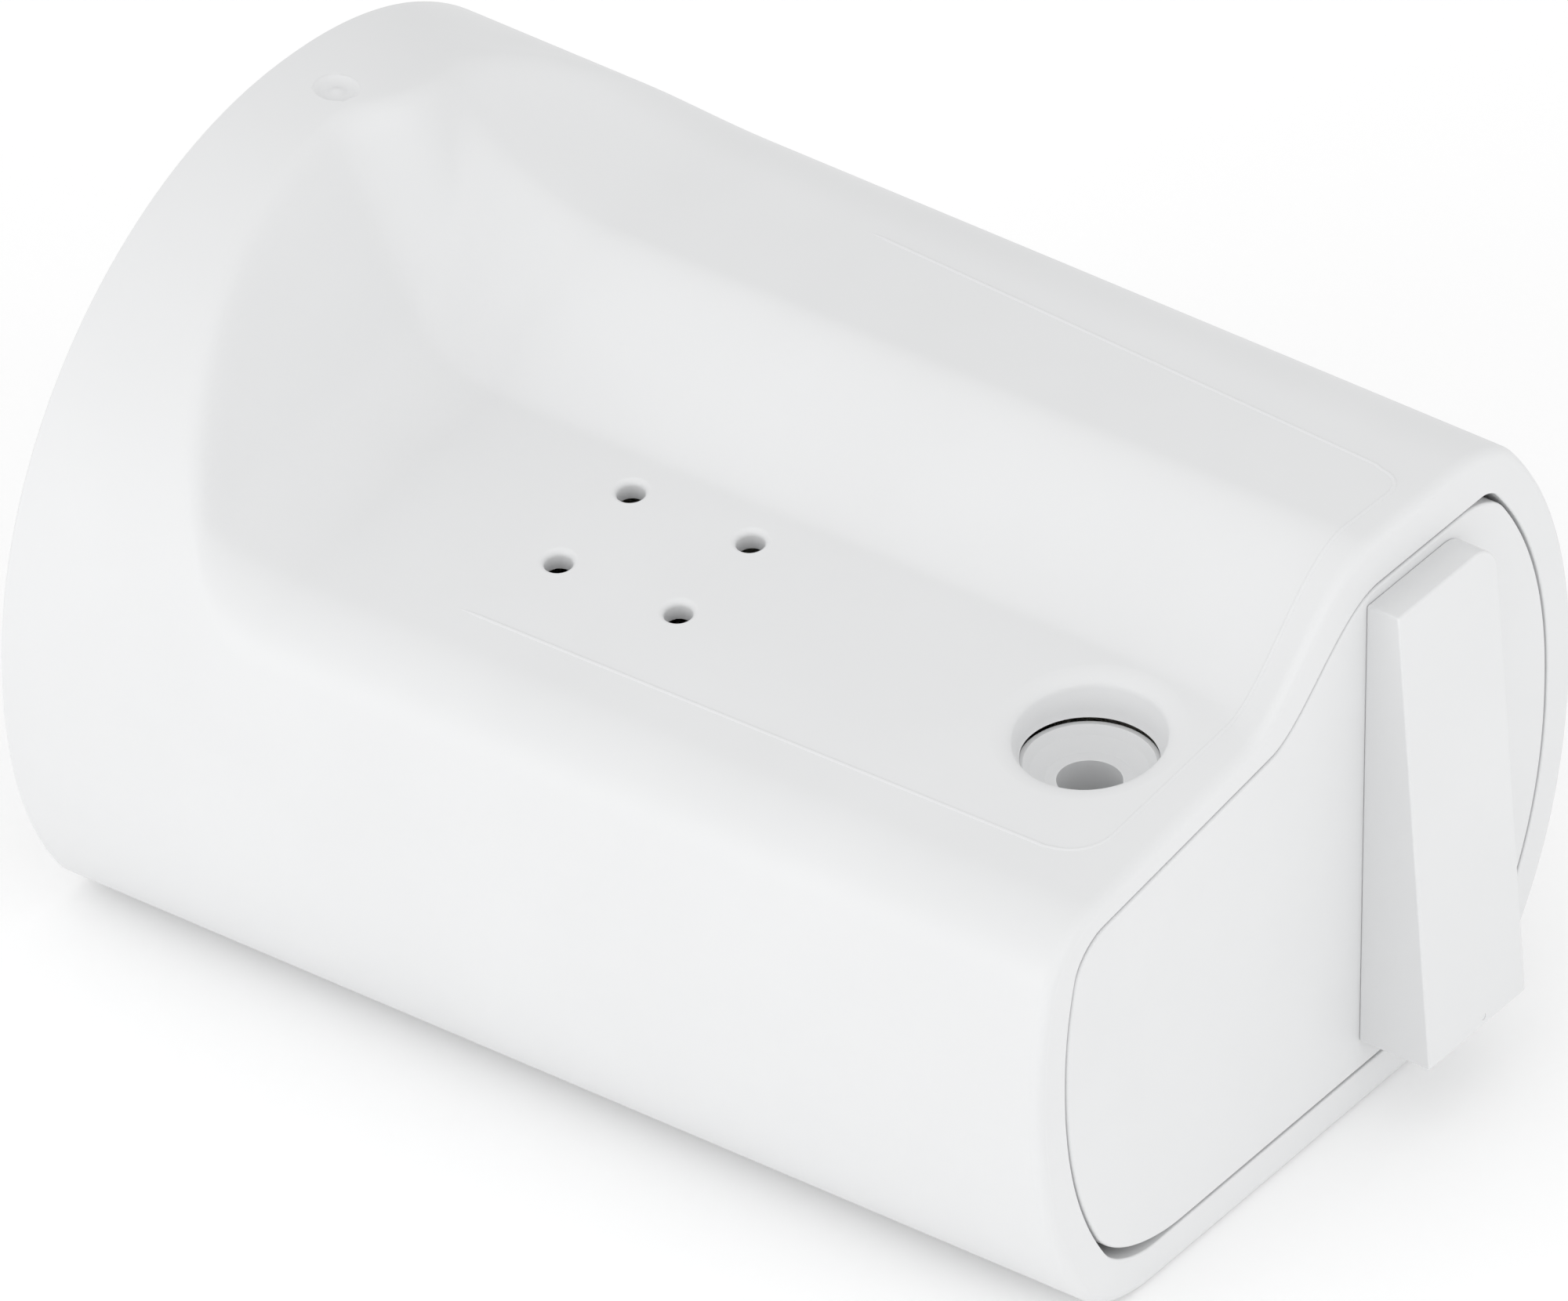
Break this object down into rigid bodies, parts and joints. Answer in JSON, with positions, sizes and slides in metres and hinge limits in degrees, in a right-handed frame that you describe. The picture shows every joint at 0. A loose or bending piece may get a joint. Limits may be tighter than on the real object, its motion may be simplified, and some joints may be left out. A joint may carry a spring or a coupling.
{
  "type": "fire blanket case",
  "caption": "Wall case for a folded fire blanket: round-backed moulded shell with a stepped front, screw recess and vents, and a pull-out drawer with a wedge grip.",
  "frame": {"origin": "middle of the outer box, on the flat back that lies against the wall", "axes": "+Z away from the wall, -Y out of the mouth (down when hung on a wall), +X towards the tall lobe"},
  "size_m": [0.134, 0.1922, 0.115],
  "materials": {
    "case_white": "satin moulded, fine grain",
    "inner_white": "smooth moulded",
    "strip_cream": "waxy low-friction",
    "steel": "zinc plated",
    "spring_steel": "tempered strip",
    "rubber_black": "matt",
    "glass_cloth": "woven glass fibre",
    "webbing_red": "woven polyester webbing"
  },
  "bodies": {
    "case": {"case_shell": "case_white", "rear_cover": "case_white", "rear_cover_screws": "steel", "screw_post": "case_white", "post_ring_nut": "inner_white", "runner_rail_left": "inner_white", "runner_rail_right": "inner_white", "rail_screws": "steel", "catch_spring": "spring_steel", "catch_spring_screw": "steel", "stop_bumper_left": "rubber_black", "stop_bumper_right": "rubber_black"},
    "drawer": {"closure_panel": "case_white", "pull_grip": "case_white", "grip_screws": "steel", "blanket_tray": "inner_white", "tray_screws": "steel", "slide_strip_left": "strip_cream", "slide_strip_right": "strip_cream", "tape_bar": "steel", "fire_blanket": "glass_cloth", "pull_tape_left": "webbing_red", "pull_tape_right": "webbing_red"}
  },
  "joints": [
    {"name": "drawer_slide", "type": "slide", "parent": "case", "child": "drawer", "axis": [0, -1, 0], "range_m": [0, 0.125], "deforming": ["catch_spring"]}
  ]
}
